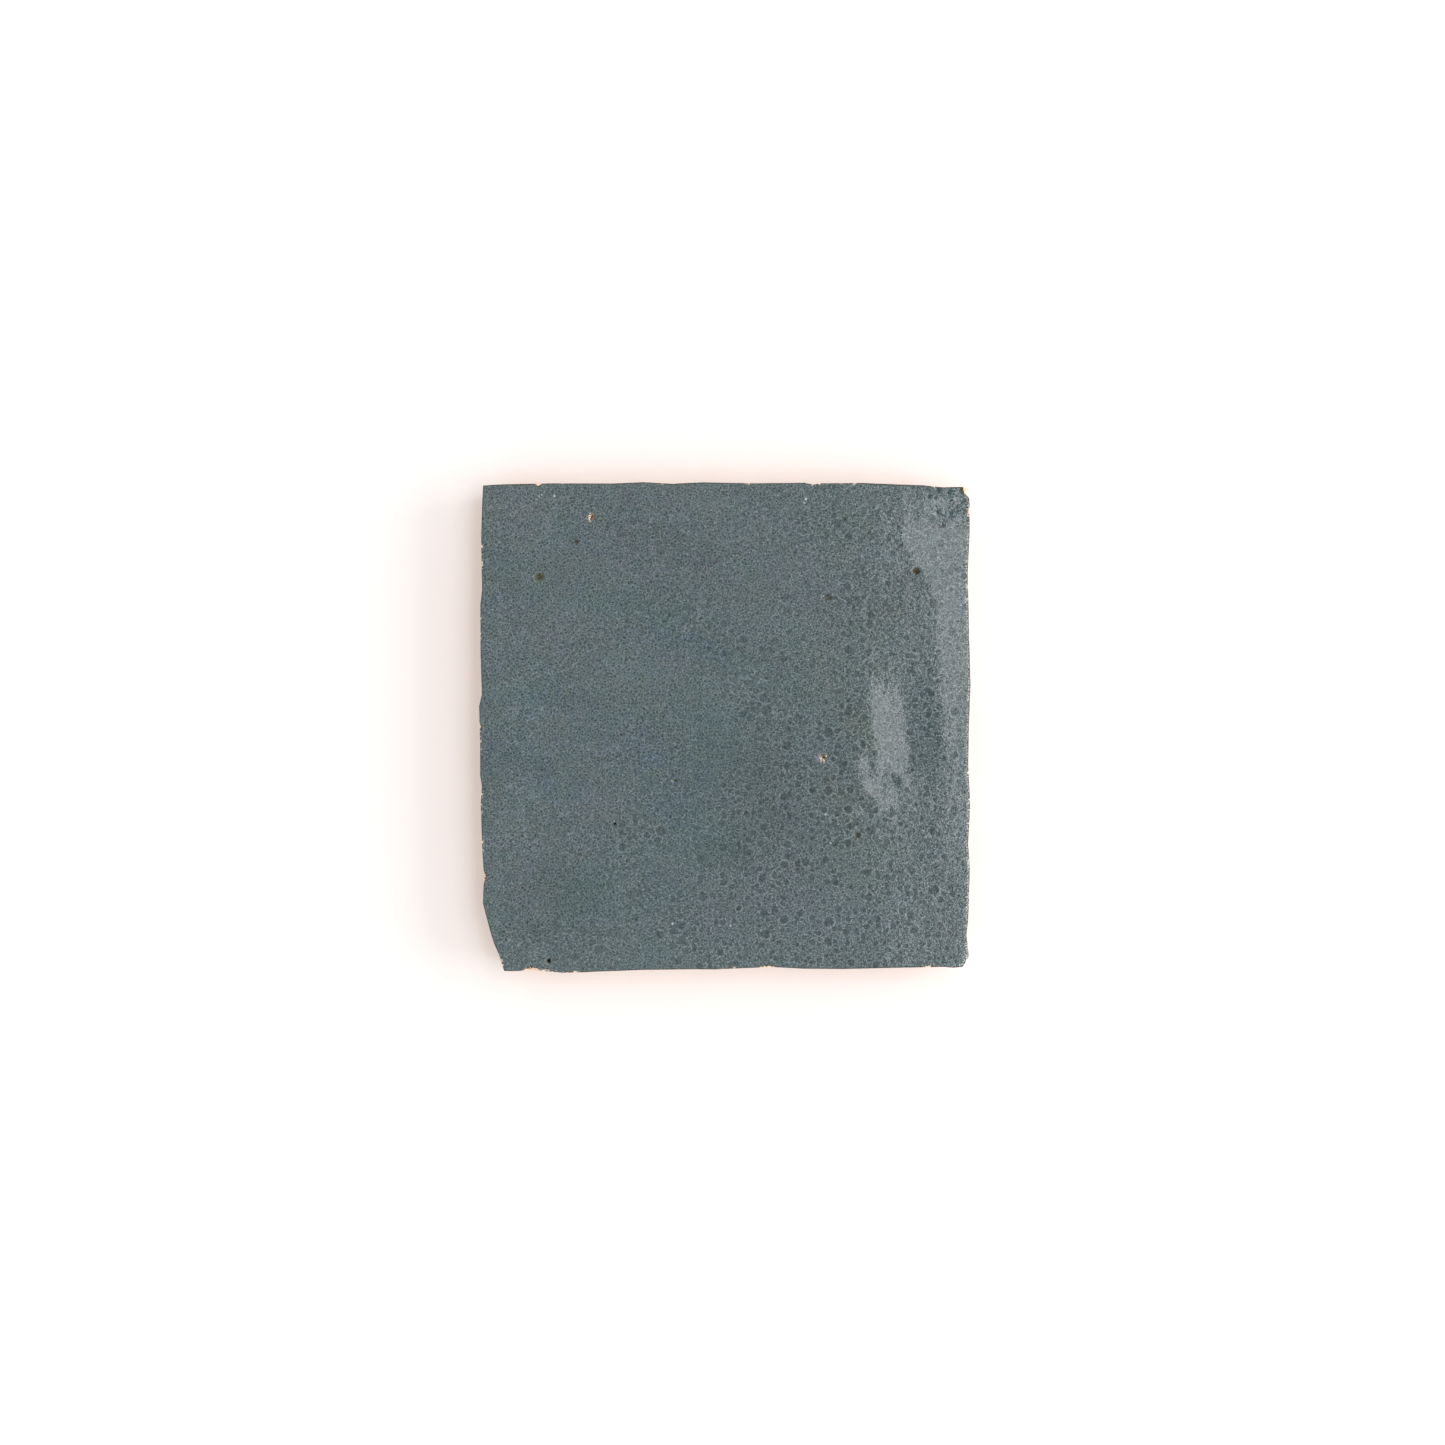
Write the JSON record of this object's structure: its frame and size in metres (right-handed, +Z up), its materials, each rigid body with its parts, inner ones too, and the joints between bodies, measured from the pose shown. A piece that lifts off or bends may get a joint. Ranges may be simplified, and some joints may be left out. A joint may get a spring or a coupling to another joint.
{
  "type": "zellige tile",
  "caption": "Square hand-cut terracotta tile with a wavy, crackled grey-blue glazed face, undercut chiselled sides and a flat unglazed back, for walls and floors.",
  "frame": {"origin": "on the flat back, under the middle of the outline's box", "axes": "+Z up out of the glazed face, +X to the right and +Y to the far side as the face is seen in the picture"},
  "size_m": [0.1008, 0.1006, 0.0119],
  "materials": {
    "glaze": "glossy grey-blue crackled glaze on pale terracotta"
  },
  "bodies": {
    "root": {"zellige_tile": "glaze"}
  },
  "joints": []
}
